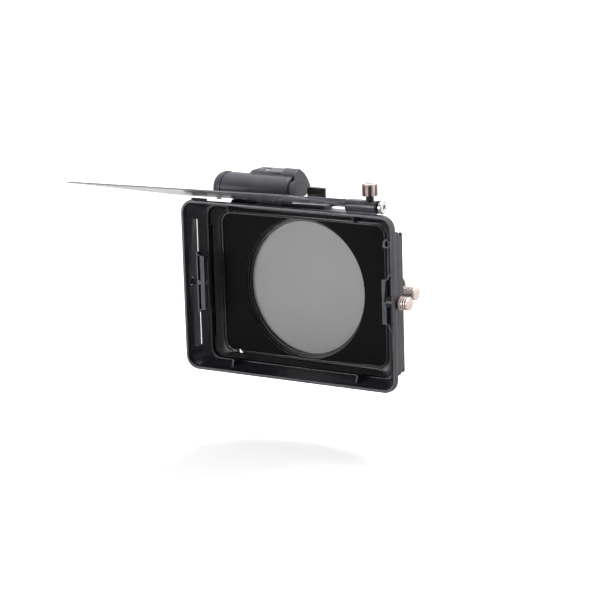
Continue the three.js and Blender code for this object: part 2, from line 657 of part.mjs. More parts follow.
function buildRearRing() {
  const front = bodyRear + seatGap;
  const flangeEnd = front + rearRing.flange;
  const ring = turned('y', [
    [0, front], [rearRing.flangeRadius, front], [rearRing.flangeRadius, flangeEnd],
    [rearRing.radius, flangeEnd], [rearRing.radius, ringRear], [0, ringRear],
  ], [0, 0, 0], fineSides);
  const earFoot = -rearRing.boreRadius - overrun;
  const ears = block([-rearRing.earWidth - rearRing.split / 2, ringRear - rearRing.earLength,
    -rearRing.radius - rearRing.earHeight / 2],
    [rearRing.earWidth + rearRing.split / 2, ringRear, earFoot]);
  const split = block([-rearRing.split / 2, ringRear - rearRing.splitDepth,
    -rearRing.radius - rearRing.earHeight],
    [rearRing.split / 2, ringRear + overrun, -rearRing.boreRadius + overrun]);
  const bore = shaft('y', rearRing.boreRadius, front - overrun, ringRear + overrun, [0, 0, 0], fineSides);
  const screwHole = shaft('x', rearRing.screwRadius + runningGap, -2 * rearRing.earWidth,
    2 * rearRing.earWidth,
    [0, clampScrewDepth, clampScrewHeight], smallSides);
  const sinks = ringScrewPlaces().map(([x, z]) =>
    shaft('y', ringScrew.radius + seatGap, flangeEnd - ringScrew.head, flangeEnd + overrun, [x, 0, z],
      smallSides));
  addPart('rear_clamp_ring', cutBy(ring.add(ears), [split, bore, screwHole, ...sinks]), anodised);
}

const clampScrewDepth = ringRear - rearRing.earLength / 2;
const clampScrewHeight = -rearRing.radius - rearRing.headRadius - seatGap;

function ringScrewPlaces() {
  return Array.from({ length: ringScrew.count }, (_, i) => {
    const turn = (i + 1 / 2) * 2 * Math.PI / ringScrew.count;
    return [ringScrew.circle * Math.cos(turn), ringScrew.circle * Math.sin(turn)];
  });
}

function buildRingScrews() {
  const flangeEnd = bodyRear + seatGap + rearRing.flange;
  ringScrewPlaces().forEach(([x, z], i) => {
    const start = flangeEnd - ringScrew.head + seatGap;
    const screw = shaft('y', ringScrew.radius, start, start + ringScrew.head, [x, 0, z], smallSides);
    const hex = hexSocket('y', ringScrew.hexRadius, start + ringScrew.head - ringScrew.hexDepth,
      start + ringScrew.head + overrun, [x, 0, z]);
    addPart(`ring_screw_${i + 1}`, screw.subtract(hex), blackSteel);
  });
}

function buildRingClampScrew() {
  const side = rearRing.earWidth + rearRing.split / 2;
  const centre = [0, clampScrewDepth, clampScrewHeight];
  const start = side + seatGap;
  const screw = turned('x', [
    [0, -side], [rearRing.screwRadius, -side], [rearRing.screwRadius, start],
    [rearRing.headRadius, start], [rearRing.headRadius, start + rearRing.head], [0, start + rearRing.head],
  ], centre, smallSides);
  const hex = hexSocket('x', rearRing.hexRadius, start + rearRing.head - rearRing.hexDepth,
    start + rearRing.head + overrun, centre);
  addPart('ring_clamp_screw', screw.subtract(hex), blackSteel);
}

// Cartridge frame with the bore for the toothed ring and the fixed ring
const cartridgeFront = bodyFront + runningGap;
const cartridgeRear = cartridgeFront + cartridge.depth;
const pitchRadius = (teeth) => gears.pitchUnit * teeth / 2;
const tipRadius = (teeth) => pitchRadius(teeth) + gears.pitchUnit * gears.addendumShare;
const ringTip = tipRadius(gears.ringToothCount);
const cavityRadius = ringTip + runningGap;
const gearFront = cartridgeFront + cartridge.frontLip + runningGap;
const gearRear = gearFront + gears.width;
const fixedFront = gearRear + runningGap;
const fixedRear = fixedFront + filter.fixedRing;
const idlerReach = pitchRadius(gears.ringToothCount) + pitchRadius(gears.idlerToothCount) + gears.meshGap;
const idlerHeight = Math.sqrt(idlerReach ** 2 - gears.offset ** 2);
const motorHeight = idlerHeight + pitchRadius(gears.idlerToothCount) + pitchRadius(gears.motorToothCount)
  + gears.meshGap;

function idlerPocket(from, to) {
  const radius = tipRadius(gears.idlerToothCount) + runningGap;
  const around = shaft('y', radius, from, to, [gears.offset, 0, idlerHeight]);
  const above = block([gears.offset - radius, from, idlerHeight], [gears.offset + radius, to, 2 * body.top]);
  return around.add(above);
}

function buildCartridge() {
  const plate = prism('y', outlineOf([
    [cartridge.halfWidth - cartridge.chamfer, cartridge.bottom],
      [cartridge.halfWidth, cartridge.bottom + cartridge.chamfer],
    [cartridge.halfWidth, cartridge.top - cartridge.upperChamfer],
    [cartridge.halfWidth - cartridge.upperChamfer, cartridge.top], [-cartridge.halfWidth, cartridge.top],
    [-cartridge.halfWidth, cartridge.bottom + cartridge.chamfer],
      [cartridge.chamfer - cartridge.halfWidth, cartridge.bottom],
  ]), cartridgeFront, cartridgeRear);
  const cavity = shaft('y', cavityRadius, cartridgeFront + cartridge.frontLip,
    cartridgeRear - cartridge.rearLip, [0, 0, 0], fineSides);
  const frontHole = shaft('y', cartridge.lipRadius, cartridgeFront - overrun, cartridgeRear, [0, 0, 0],
    fineSides);
  const rearHole = shaft('y', cartridge.rearLipRadius, cartridgeFront, cartridgeRear + overrun, [0, 0, 0],
    fineSides);
  const pocket = idlerPocket(gearFront - runningGap, gearRear + runningGap);
  const pinHole = shaft('y', gears.idlerBore, gearRear, gearRear + gears.width,
    [gears.offset, 0, idlerHeight], smallSides);
  addPart('cartridge_frame', cutBy(plate, [cavity, frontHole, rearHole, pocket, pinHole]), anodised);
}

// Toothed outline with straight flanks
function gearOutline(teeth) {
  const tip = tipRadius(teeth);
  const root = pitchRadius(teeth) - gears.pitchUnit * gears.dedendumShare;
  const pitchTurn = 2 * Math.PI / teeth;
  const slack = gears.backlash / pitchRadius(teeth);
  const points = [];
  for (let i = 0; i < teeth; i += 1) {
    const middle = i * pitchTurn;
    const rootHalf = (pitchTurn * gears.rootShare - slack) / 2;
    const tipHalf = (pitchTurn * gears.tipShare - slack / 2) / 2;
    for (const [radius, turn] of [[root, -rootHalf], [tip, -tipHalf], [tip, tipHalf], [root, rootHalf]]) {
      points.push([radius * Math.cos(middle + turn), radius * Math.sin(middle + turn)]);
    }
  }
  return outlineOf(points);
}

function gearSolid(teeth, x, z, firstTurn, from, to) {
  const geometry = new THREE.ExtrudeGeometry(gearOutline(teeth), { depth: to - from, bevelEnabled: false });
  geometry.rotateZ(firstTurn);
  geometry.translate(x, z, from);
  geometry.applyMatrix4(new THREE.Matrix4().makeBasis(...planes.y, axes.y));
  return solidOf(geometry);
}

// Each gear is turned so that a tooth of one stands in a gap of the next
const idlerTurn = Math.atan2(idlerHeight, gears.offset);
const upright = Math.PI / 2;

function toothAt(teeth, turn) {
  return turn - Math.round(turn * teeth / (2 * Math.PI)) * 2 * Math.PI / teeth;
}

function buildRings() {
  const teeth = gearSolid(gears.ringToothCount, 0, 0, toothAt(gears.ringToothCount, idlerTurn), gearFront,
    gearRear);
  const bore = shaft('y', filter.ringBore, gearFront - overrun, gearRear + overrun, [0, 0, 0], fineSides);
  const seat = shaft('y', filter.ringBore + filter.glassSeat, gearFront + filter.ringFront,
    gearRear + overrun, [0, 0, 0], fineSides);
  addPart('toothed_filter_ring', cutBy(teeth, [bore, seat]), blackSteel);
  const glassRadius = filter.ringBore + filter.glassSeat - seatGap;
  addPart('turning_polariser_glass', shaft('y', glassRadius, gearFront + filter.ringFront + seatGap,
    gearRear, [0, 0, 0], fineSides), smokedGlass);
  const fixed = shaft('y', cavityRadius - seatGap, fixedFront, fixedRear, [0, 0, 0], fineSides);
  const fixedBore = shaft('y', filter.ringBore, fixedFront - overrun, fixedRear + overrun, [0, 0, 0],
    fineSides);
  const entry = shaft('y', filter.ringBore + filter.glassSeat, fixedFront + filter.groove,
    fixedRear + overrun, [0, 0, 0], fineSides);
  addPart('fixed_filter_ring', cutBy(fixed, [fixedBore, entry]), blackSteel);
  addPart('fixed_polariser_glass', shaft('y', glassRadius, fixedFront + filter.groove + seatGap,
    fixedFront + filter.groove + filter.glass, [0, 0, 0], fineSides), smokedGlass);
}

function buildDrive() {
  const towardsRing = idlerTurn + Math.PI;
  const idlerFirst = toothAt(gears.idlerToothCount, towardsRing) + Math.PI / gears.idlerToothCount;
  const idler = gearSolid(gears.idlerToothCount, gears.offset, idlerHeight, idlerFirst, gearFront, gearRear);
  const bore = shaft('y', gears.idlerBore + seatGap / 2, gearFront - overrun, gearRear + overrun,
    [gears.offset, 0, idlerHeight], smallSides);
  addPart('idler_gear', idler.subtract(bore), cellSteel);
  addPart('idler_pin', shaft('y', gears.idlerBore - seatGap / 2, gearFront, gearRear + gears.width - seatGap,
    [gears.offset, 0, idlerHeight], smallSides), blackSteel);
  const idlerPhase = toothAt(gears.idlerToothCount, upright - idlerFirst);
  const motorFirst = -upright + Math.PI / gears.motorToothCount + idlerPhase
    * gears.idlerToothCount / gears.motorToothCount;
  const pinion = gearSolid(gears.motorToothCount, gears.offset, motorHeight, motorFirst, gearFront, gearRear);
  const motorFront = gearRear + motor.gap;
  const shaftSolid = shaft('y', motor.shaftRadius, gearFront, motorFront + motor.length / 4,
    [gears.offset, 0, motorHeight], smallSides);
  addPart('motor_pinion', pinion.add(shaftSolid), cellSteel);
  const can = shaft('y', motor.radius, motorFront, motorFront + motor.length, [gears.offset, 0, motorHeight]);
  const well = shaft('y', motor.shaftRadius + runningGap, motorFront - overrun,
    motorFront + motor.length / 4 + runningGap,
    [gears.offset, 0, motorHeight], smallSides);
  addPart('drive_motor', can.subtract(well), cellSteel);
}

// Rail across the cartridge's top, with the grip that lifts it
const railBottom = cartridge.top + seatGap;
const railTop = railBottom + rail.rise + body.top - cartridge.top;
const railFront = cartridgeFront + runningGap;

function buildRail() {
  const low = block([rail.left, railFront, body.top + runningGap],
    [rail.right, railFront + rail.depth, railTop]);
  const neck = block([runningGap - cartridge.halfWidth, railFront, railBottom],
    [rail.right - runningGap, cartridgeRear - runningGap, body.top + overrun]);
  const gripEnd = rail.gripRight - rail.gripDepth / 2;
  const gripFront = railFront + rail.gripSetback;
  const gripMiddle = gripFront + rail.gripDepth / 2;
  const grip = block([rail.gripLeft, gripFront, railTop - overrun],
    [gripEnd, gripFront + rail.gripDepth, railTop + rail.grip]);
  const round = shaft('z', rail.gripDepth / 2, railTop - overrun, railTop + rail.grip,
    [gripEnd, gripMiddle, 0], smallSides);
  const pocket = idlerPocket(gearFront - runningGap, gearRear + runningGap);
  addPart('cartridge_rail', cutBy(joined([low, neck, grip, round]), [pocket]), anodised);
}

// Drive unit: a base, a lying tube in front, a taller dome behind, and a cap on each end
const unitFloor = railTop + seatGap;
const shellFloor = unitFloor + unit.base + seatGap;
const tubeDepth = unit.front + unit.tubeRadius;
const tubeHeight = shellFloor + unit.tubeRise;
const unitSteps = 2 * cornerSteps;

// Upright sides with a half round top. An inset draws it in; the void reaches below the floor
function tubeOutline(inset, floor) {
  const shape = new THREE.Shape();
  const rear = tubeDepth + unit.tubeRadius - inset;
  shape.moveTo(rear, floor);
  shape.lineTo(rear, tubeHeight);
  shape.absarc(tubeDepth, tubeHeight, unit.tubeRadius - inset, 0, Math.PI);
  shape.lineTo(unit.front + inset, floor);
  return shape;
}

// Curve between two points that bulges towards a corner by a share of the way
function bulgeTo(shape, [u0, v0], [u1, v1], [cornerU, cornerV], bulgeShare) {
  const middleU = (u0 + u1) / 2;
  const middleV = (v0 + v1) / 2;
  shape.lineTo(u0, v0);
  shape.quadraticCurveTo(middleU + (cornerU - middleU) * bulgeShare,
    middleV + (cornerV - middleV) * bulgeShare, u1, v1);
}

// Side view of a hump or deck, drawn in by an inset
function hoodedOutline(cover, inset, floor) {
  const front = cover.front + inset;
  const rear = cover.rear - inset;
  const frontTop = shellFloor + cover.frontRise - inset;
  const rearTop = shellFloor + cover.rearRise - inset;
  const shape = new THREE.Shape();
  shape.moveTo(front, floor);
  shape.lineTo(rear, floor);
  bulgeTo(shape, [rear, rearTop - cover.rearFall], [cover.rear - cover.rearRun, rearTop], [rear, rearTop],
    cover.rearBulgeShare);
  bulgeTo(shape, [cover.front + cover.frontRun, frontTop], [front, frontTop - cover.frontFall],
    [front, frontTop],
    cover.frontBulgeShare);
  return shape;
}

function coverSolid(cover, inset, floor) {
  return prism('x', hoodedOutline(cover, inset, floor), cover.left + inset, cover.right - inset, unitSteps);
}

// The deck's left end is rounded as seen from the front
function deckSolid(inset, floor) {
  const top = shellFloor + deck.rearRise;
  const shape = new THREE.Shape();
  shape.moveTo(deck.right, floor);
  shape.lineTo(deck.right, top + overrun);
  shape.lineTo(deck.left + inset + deck.endRound, top + overrun);
  shape.lineTo(deck.left + inset + deck.endRound, top - inset);
  shape.absarc(deck.left + inset + deck.endRound, top - inset - deck.endRound, deck.endRound, Math.PI / 2,
    Math.PI);
  shape.lineTo(deck.left + inset, floor);
  return coverSolid(deck, inset, floor).intersect(prism('y', shape, unit.front, unit.rear + overrun,
    unitSteps));
}

function buildUnit() {
  const tubeLeft = unit.left + unit.capLength + seatGap;
  const shellEnd = unit.rimStart - seatGap;
  const base = block([tubeLeft, unit.front + unit.wall, unitFloor],
    [shellEnd, unit.rear - unit.wall, shellFloor - seatGap]);
  addPart('drive_unit_base', base.subtract(idlerPocket(gearFront - runningGap, gearRear + runningGap)),
    anodised);
  const below = shellFloor - overrun;
  const shell = joined([
    prism('x', tubeOutline(0, shellFloor), tubeLeft, shellEnd, unitSteps), coverSolid(hump, 0, shellFloor),
    deckSolid(0, shellFloor),
  ]);
  const buttonFloor = shellFloor + button.rise - unit.wall - 2 * button.travel;
  const voids = [
    prism('x', tubeOutline(unit.wall, below), tubeLeft + unit.wall, shellEnd - unit.wall, unitSteps),
    coverSolid(hump, unit.wall, below), deckSolid(unit.wall, below),
    shaft('z', button.radius + runningGap, buttonFloor - button.stem, shellFloor + deck.rearRise + overrun,
      [button.x, button.depth, 0], smallSides),
  ];
  addPart('drive_unit_shell', cutBy(shell, voids), unitShell);
  buildUnitCaps(tubeLeft - seatGap);
}

// The left cap swells out to a rounded end; the right one has a rim, a groove and a smaller face
function buildUnitCaps(leftStart) {
  const loops = Array.from({ length: unitSteps + 1 }, (_, i) => {
    const turn = (i / unitSteps) * Math.PI / 2;
    const x = leftStart - unit.capLength * Math.sin(turn);
    const outline = tubeOutline(unit.capRound * (1 - Math.cos(turn)) - unit.capSwell, shellFloor);
    return outline.getPoints(unitSteps).map((point) => [x, point.x, point.y]);
  });
  addPart('drive_unit_cap_left', skinned(loops), unitShell);
  const slice = (sink, from, to) => prism('x', tubeOutline(sink, shellFloor), from, to, unitSteps);
  const rim = slice(0, unit.rimStart, unit.rimEnd).add(slice(unit.grooveSink, unit.rimStart, unit.right));
  const behind = prism('x', hoodedOutline(hump, -seatGap, shellFloor - overrun), unit.rimStart - overrun,
    hump.right + seatGap,
    unitSteps);
  const face = slice(unit.faceSink, unit.faceStart, unit.right);
  addPart('drive_unit_cap_right', rim.subtract(behind).add(face), unitShell);
}

function buildUnitInside() {
  const cellLeft = unit.left + unit.capLength + battery.inset;
  const cellCentre = [0, tubeDepth, shellFloor + battery.radius];
  addPart('battery_cell', shaft('x', battery.radius, cellLeft, cellLeft + battery.length, cellCentre),
    cellSteel);
  const boardLeft = gears.offset + motor.radius + overrun;
  addPart('control_board', block([boardLeft, tubeDepth, shellFloor],
    [boardLeft + board.width, tubeDepth + board.length / 2, shellFloor + board.thickness]), boardGreen);
}

function buildButton() {
  const top = shellFloor + button.rise;
  const flange = top - unit.wall - button.travel;
  addPart('drive_button', turned('z', [
    [0, flange - button.stem], [button.radius / 2, flange - button.stem], [button.radius / 2, flange],
    [button.radius, flange], [button.radius, top], [0, top],
  ], [button.x, button.depth, 0], smallSides), rubber);
}

// Side lock of the cartridge
function knurledKnob() {
  const start = lock.knobEnd - lock.knobLength;
  const end = lock.knobEnd - lock.bevel;
  const radius = lock.knobRadius;
  const points = [];
  for (let i = 0; i < 2 * lock.ridgeCount; i += 1) {
    const turn = i * Math.PI / lock.ridgeCount;
    const r = i % 2 ? radius - lock.ridge : radius;
    points.push([lock.depth + r * Math.cos(turn), lock.height + r * Math.sin(turn)]);
  }
  const grip = prism('x', outlineOf(points), start, end - lock.smooth);
  const nose = turned('x', [
    [0, start], [radius - lock.ridge, start], [radius - lock.ridge, end - lock.smooth],
      [radius, end - lock.smooth],
    [radius, end], [radius - lock.bevel, lock.knobEnd], [0, lock.knobEnd],
  ], [0, lock.depth, lock.height]);
  return grip.add(nose);
}

function buildLock() {
  const centre = [0, lock.depth, lock.height];
  const collarStart = body.halfWidth + seatGap;
  const knobStart = lock.knobEnd - lock.knobLength;
  const collar = shaft('x', lock.collarRadius, collarStart, collarStart + lock.collarLength, centre,
    smallSides);
  const bore = shaft('x', lock.shaftRadius + runningGap / 2, collarStart - overrun,
    collarStart + lock.collarLength + overrun,
    centre, smallSides);
  addPart('lock_bush', collar.subtract(bore), blackSteel);
  const padEnd = body.slotHalfWidth + runningGap + lock.pad;
  addPart('lock_screw', shaft('x', lock.shaftRadius, padEnd + runningGap, knobStart - seatGap, centre,
    smallSides), blackSteel);
  addPart('lock_pad', shaft('x', lock.padRadius, padEnd - lock.pad, padEnd, centre, smallSides), rubber);
  addPart('lock_knob', knurledKnob(), copper);
}

// Curved thumb lever beside the lock, on a pin between two ears on the body's side
function buildLever() {
  const half = lever.thickness / 2;
  const from = lever.depth - half;
  const to = lever.depth + half;
  const pivot = [lever.pivotSide, 0, lever.pivotHeight];
  const inner = body.halfWidth + lever.clear;
  const arc = Array.from({ length: lever.arcSteps + 1 }, (_, i) => {
    const turn = THREE.MathUtils.degToRad(lever.arcFromAngle + (lever.arcToAngle - lever.arcFromAngle)
      * i / lever.arcSteps);
    return [lever.arcSide + lever.arcRadius * Math.cos(turn),
      lever.arcHeight + lever.arcRadius * Math.sin(turn)];
  });
  const wing = prism('y', outlineOf([...arc, [inner, lever.arcHeight + lever.arcRadius],
    [inner, lever.pivotHeight]]), from, to);
  const eye = shaft('y', lever.eyeRadius, from, to, pivot, smallSides);
  const hole = shaft('y', lever.pinRadius + seatGap / 2, from - overrun, to + overrun, pivot, smallSides);
  addPart('release_lever', cutBy(wing.add(eye), [hole]), copper);
  const reach = half + lever.earGap;
  const ears = [[lever.depth - reach - lever.ear, lever.depth - reach],
    [lever.depth + reach, lever.depth + reach + lever.ear]]
    .map(([y0, y1]) => shaft('y', lever.earRadius, y0, y1, pivot, smallSides)
      .add(block([body.halfWidth + seatGap, y0, lever.pivotHeight - lever.earRadius],
        [lever.pivotSide, y1, lever.pivotHeight + lever.earRadius])));
  const foot = block([body.halfWidth + seatGap, lever.depth - reach - lever.ear,
    lever.pivotHeight - lever.earRadius - lever.ear - lever.eyeRadius],
    [lever.pivotSide, lever.depth + reach + lever.ear, lever.pivotHeight - lever.eyeRadius - lever.earGap]);
  const legs = [[lever.depth - reach - lever.ear, lever.depth - reach],
    [lever.depth + reach, lever.depth + reach + lever.ear]]
    .map(([y0, y1]) => block([body.halfWidth + seatGap, y0, lever.pivotHeight - lever.eyeRadius - lever.ear],
      [lever.pivotSide, y1, lever.pivotHeight]));
  const pinHole = shaft('y', lever.pinRadius + seatGap / 2, from - 2 * lever.ear - overrun,
    to + 2 * lever.ear + overrun,
    pivot, smallSides);
  addPart('lever_bracket', cutBy(joined([...ears, foot, ...legs]), [pinHole]), anodised);
  addPart('lever_pin', shaft('y', lever.pinRadius, from - lever.earGap - lever.ear,
    to + lever.earGap + lever.ear, pivot, smallSides),
    chrome);
}

// Hinge barrel on the hood's lip, with its end screw and thumbscrew
function buildHinge() {
  const centre = [0, hinge.depth, hinge.height];
  const lipTop = hoodHeight / 2;
  const barrel = shaft('x', hinge.barrelRadius, hinge.barrelLeft, hinge.barrelRight, centre);
  const foot = block([hinge.barrelLeft, hinge.depth - hinge.footWidth / 2, lipTop + seatGap],
    [hinge.barrelRight, hinge.depth + hinge.footWidth / 2, hinge.height]);
  const over = block([hinge.barrelLeft - overrun, hinge.depth - 2 * hinge.barrelRadius,
    hinge.height + hinge.flat],
    [hinge.barrelRight + overrun, hinge.depth + 2 * hinge.barrelRadius,
      hinge.height + 2 * hinge.barrelRadius]);
  const bore = shaft('x', hinge.rodRadius + runningGap / 2, hinge.barrelLeft - overrun,
    hinge.barrelRight + overrun, centre);
  const thread = shaft('z', thumb.stemRadius + thumb.bore, hinge.height,
    hinge.height + 2 * hinge.barrelRadius,
    [thumb.side, hinge.depth, 0], smallSides);
  addPart('hinge_barrel', cutBy(barrel.add(foot), [over, bore, thread]), blackSteel);
  buildHingeEnd(centre);
}

function buildHingeEnd(centre) {
  const washerEnd = hinge.barrelRight + runningGap + hinge.washer;
  const washer = shaft('x', hinge.washerRadius, hinge.barrelRight + runningGap, washerEnd, centre);
  const bore = shaft('x', hinge.rodRadius + runningGap / 2, hinge.barrelRight, washerEnd + overrun, centre);
  addPart('hinge_washer', washer.subtract(bore), blackSteel);
}

const washerEnd = hinge.barrelRight + runningGap + hinge.washer;
const discStart = washerEnd + hinge.washerGap;

function buildThumbscrew() {
  const top = hinge.height + hinge.flat;
  const headStart = top + runningGap + thumb.neck;
  const headEnd = headStart + thumb.head;
  const stemEnd = hinge.height + hinge.rodRadius + runningGap;
  const centre = [thumb.side, hinge.depth, 0];
  const head = turned('z', [
    [0, headStart], [thumb.headRadius - thumb.bevel, headStart], [thumb.headRadius, headStart + thumb.bevel],
    [thumb.headRadius, headEnd - thumb.bevel], [thumb.headRadius - thumb.bevel, headEnd],
    [thumb.crownRadius, headEnd], [thumb.crownRadius, headEnd + thumb.crown], [0, headEnd + thumb.crown],
  ], centre);
  const flutes = Array.from({ length: thumb.fluteCount }, (_, i) => {
    const turn = THREE.MathUtils.degToRad(thumb.fluteAngle) + i * 2 * Math.PI / thumb.fluteCount;
    const radius = thumb.headRadius + thumb.fluteSink;
    return shaft('z', thumb.fluteRadius, headStart - overrun, headEnd - thumb.bevel,
      [thumb.side + radius * Math.cos(turn), hinge.depth + radius * Math.sin(turn), 0], smallSides);
  });
  addPart('flag_thumbscrew', cutBy(head, flutes), copper);
  addPart('thumbscrew_stem', turned('z', [
    [0, stemEnd], [thumb.stemRadius, stemEnd], [thumb.stemRadius, top + runningGap],
    [thumb.neckRadius, top + runningGap], [thumb.neckRadius, headStart - seatGap], [0, headStart - seatGap],
  ], centre, smallSides), blackSteel);
}

// Flag: its group stands on the hinge axis and is raised at the front
function buildFlag() {
  const tilted = new THREE.Group();
  tilted.position.set(0, hinge.depth, hinge.height);
  tilted.rotation.x = -THREE.MathUtils.degToRad(flag.riseAngle);
  box.add(tilted);
  const drooped = new THREE.Group();
  drooped.rotation.y = -THREE.MathUtils.degToRad(flag.droopAngle);
  tilted.add(drooped);
  const top = -flag.drop;
  const outline = outlineOf([
    [flag.rearLeft + flag.rearCorner, flag.rearOverhang],
      [flag.rearLeft, flag.rearOverhang - flag.rearCorner],
    [flag.frontLeft, -flag.length + flag.corner], [flag.frontLeft + flag.corner, -flag.length],
    [flag.frontRight - flag.corner, -flag.length], [flag.frontRight, -flag.length + flag.corner],
    [flag.rearRight, flag.rearOverhang],
  ]);
  const sheet = prism('z', outline, top - flag.thickness, top);
  addPart('top_flag', sheet, carbon, drooped);
  const bar = block([hinge.barLeft, -hinge.barDepth, top + seatGap],
    [hinge.barRight, hinge.barDepth, hinge.barHeight]);
  const lipStart = flag.rearOverhang + seatGap;
  const lip = block([hinge.barRight - hinge.lipLength, lipStart, -hinge.barDrop],
    [hinge.barRight, lipStart + hinge.barLip, hinge.barHeight]);
  addPart('flag_bar', bar.add(lip), blackSteel, drooped);
  const rod = shaft('x', hinge.rodRadius, hinge.barRight + seatGap, discStart - seatGap,
    [0, 0, 0]);
  addPart('hinge_rod', rod, blackSteel, tilted);
  buildFlagEnd(tilted);
  flagScrew.insets.forEach((inset, i) => {
    const x = hinge.barRight - inset;
    addPart(`flag_screw_${i + 1}`, shaft('z', flagScrew.radius,
      top - flag.thickness - seatGap - flagScrew.head,
      top - flag.thickness - seatGap, [x, 0, 0], smallSides), blackSteel, drooped);
  });
}

function buildFlagEnd(parent) {
  const end = discStart + hinge.disc;
  const disc = turned('x', [
    [0, discStart], [hinge.discRadius - hinge.discBevel, discStart],
      [hinge.discRadius, discStart + hinge.discBevel],
    [hinge.discRadius, end - hinge.discBevel], [hinge.discRadius - hinge.discBevel, end], [0, end],
  ], [0, 0, 0]);
  const hex = hexSocket('x', hinge.hexRadius, end - hinge.hexDepth, end + overrun, [0, 0, 0]);
  addPart('hinge_end_screw', disc.subtract(hex), chrome, parent);
}

function buildPad() {
  const lipTop = hoodHeight / 2 + seatGap;
  const middle = hood.lip / 2;
  const left = pad.inset - hoodWidth / 2;
  addPart('flag_rest_pad', block([left, middle - pad.depth / 2, lipTop],
    [left + pad.width, middle + pad.depth / 2, lipTop + pad.rise]), rubber);
}

buildHood();
buildRightJaw();
buildLeftJaw();
buildRightClamp();
buildLeftClamp();
buildLatch();
buildApertureFrame();
buildFlocks();
buildBody();
buildRearRing();
buildRingScrews();
buildRingClampScrew();
buildCartridge();
buildRings();
buildDrive();
buildRail();
buildUnit();
buildUnitInside();
buildButton();
buildLock();
buildLever();
buildHinge();
buildThumbscrew();
buildFlag();
buildPad();

export default box;
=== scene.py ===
import json
import math

import bmesh
import bpy
from mathutils import Matrix, Vector


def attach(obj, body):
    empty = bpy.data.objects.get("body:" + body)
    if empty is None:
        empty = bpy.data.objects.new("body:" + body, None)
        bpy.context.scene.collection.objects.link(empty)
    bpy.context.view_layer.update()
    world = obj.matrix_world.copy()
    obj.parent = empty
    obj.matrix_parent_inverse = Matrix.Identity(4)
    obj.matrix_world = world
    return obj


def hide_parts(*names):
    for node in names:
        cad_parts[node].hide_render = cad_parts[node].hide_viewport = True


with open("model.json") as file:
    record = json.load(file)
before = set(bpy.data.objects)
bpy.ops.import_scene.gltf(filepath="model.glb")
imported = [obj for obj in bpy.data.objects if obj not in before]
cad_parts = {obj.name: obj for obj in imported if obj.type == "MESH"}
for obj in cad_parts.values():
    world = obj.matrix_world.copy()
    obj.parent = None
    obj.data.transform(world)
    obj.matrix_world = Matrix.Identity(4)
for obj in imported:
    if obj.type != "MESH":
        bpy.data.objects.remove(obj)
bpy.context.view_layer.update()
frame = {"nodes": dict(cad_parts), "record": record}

nodes = frame["nodes"]
body_of = {name: body for body, names in frame["record"]["behaviour"]["bodies"].items() for name in names}
slot_of = {part["node"]: part["material_slot"] for part in frame["record"]["subparts"]}
scene = bpy.context.scene
scene.view_settings.view_transform = "Standard"

# Sizes and places of pieces are in millimetres, with Y counted from the front rim, unless said otherwise
MM = 0.001
FRONT = -0.0573  # Y of the front rim in the frame, in metres


def at(x, y, z):
    """A point given in millimetres with Y counted from the front rim, in the frame's metres."""
    return Vector((x * MM, FRONT + y * MM, z * MM))


# Camera, fitted to the photograph's outlines; distances in millimetres, clip distances in metres
AZIMUTH, ELEVATION, ROLL = map(math.radians, (33.64, 12.06, -1.73))
FOCAL_PX, FRAME_PX, SENSOR_WIDTH = 2404.74, 600, 36
DISTANCE, AIM_RIGHT, AIM_UP = 1700, 10.0, -3.8
CLIP_START, CLIP_END = 0.05, 50


def make_camera():
    level = math.cos(ELEVATION)
    back = Vector((math.sin(AZIMUTH) * level, -math.cos(AZIMUTH) * level, math.sin(ELEVATION)))
    right = Vector((math.cos(AZIMUTH), math.sin(AZIMUTH), 0))
    up = back.cross(right)
    aim = right * AIM_RIGHT * MM + up * AIM_UP * MM + Vector((0, FRONT, 0))
    tilted_right = right * math.cos(ROLL) + up * math.sin(ROLL)
    tilted_up = up * math.cos(ROLL) - right * math.sin(ROLL)
    turn = Matrix((tilted_right, tilted_up, back)).transposed().to_4x4()
    data = bpy.data.cameras.new("view")
    data.sensor_width = SENSOR_WIDTH
    data.lens = FOCAL_PX / FRAME_PX * SENSOR_WIDTH
    data.clip_start = CLIP_START
    data.clip_end = CLIP_END
    camera = bpy.data.objects.new("view", data)
    camera.matrix_world = Matrix.Translation(aim + back * DISTANCE * MM) @ turn
    scene.collection.objects.link(camera)
    scene.camera = camera


# Stage and light: metres, watts, and strengths in which 1 is white
WHITE = (1, 1, 1, 1)
SOFT_COLOUR, SOFT_LIGHT = (0.93, 0.96, 1.0, 1), 0.12
FRONT_GLOSS, REAR_GLOSS = 0.3, 1.0
GLOSS_TURN = 0.3
FLOOR_HEIGHT, FLOOR_REACH = -0.118, 6.0
FLOOR_SEEN, FLOOR_BOUNCE = 0.5, 0.85
GLOW_NEAR, GLOW_FAR, GLOW_START, GLOW_END = 0.72, 1.0, 0.4, 1.4
MIRROR_COLOUR, MIRROR_START, MIRROR_END = (1.0, 0.975, 0.97, 1), -0.1, 0.15
LAMPS = {  # place, size and power
    "top": ((0.1, 0.3, 1.9), (1.0, 0.8), 84),
    "left": ((-1.35, -2.0, 0.15), (0.9, 0.5), 32),
    "over": ((-0.2, -0.8, 1.8), (1.2, 0.8), 14),
    "front": ((0.9, -1.9, 0.3), (1.0, 0.8), 2),
    "side": ((1.7, 1.0, 0.5), (0.9, 1.2), 16),
    "rear": ((-0.7, 1.9, 0.9), (1.2, 1.0), 3),
}


def ray_switch(tree, kinds):
    """1 where the ray is of one of the named kinds, else 0."""
    path = tree.nodes.new("ShaderNodeLightPath")
    value = path.outputs[kinds[0]]
    for kind in kinds[1:]:
        largest = tree.nodes.new("ShaderNodeMath")
        largest.operation = "MAXIMUM"
        tree.links.new(value, largest.inputs[0])
        tree.links.new(path.outputs[kind], largest.inputs[1])
        value = largest.outputs[0]
    return value


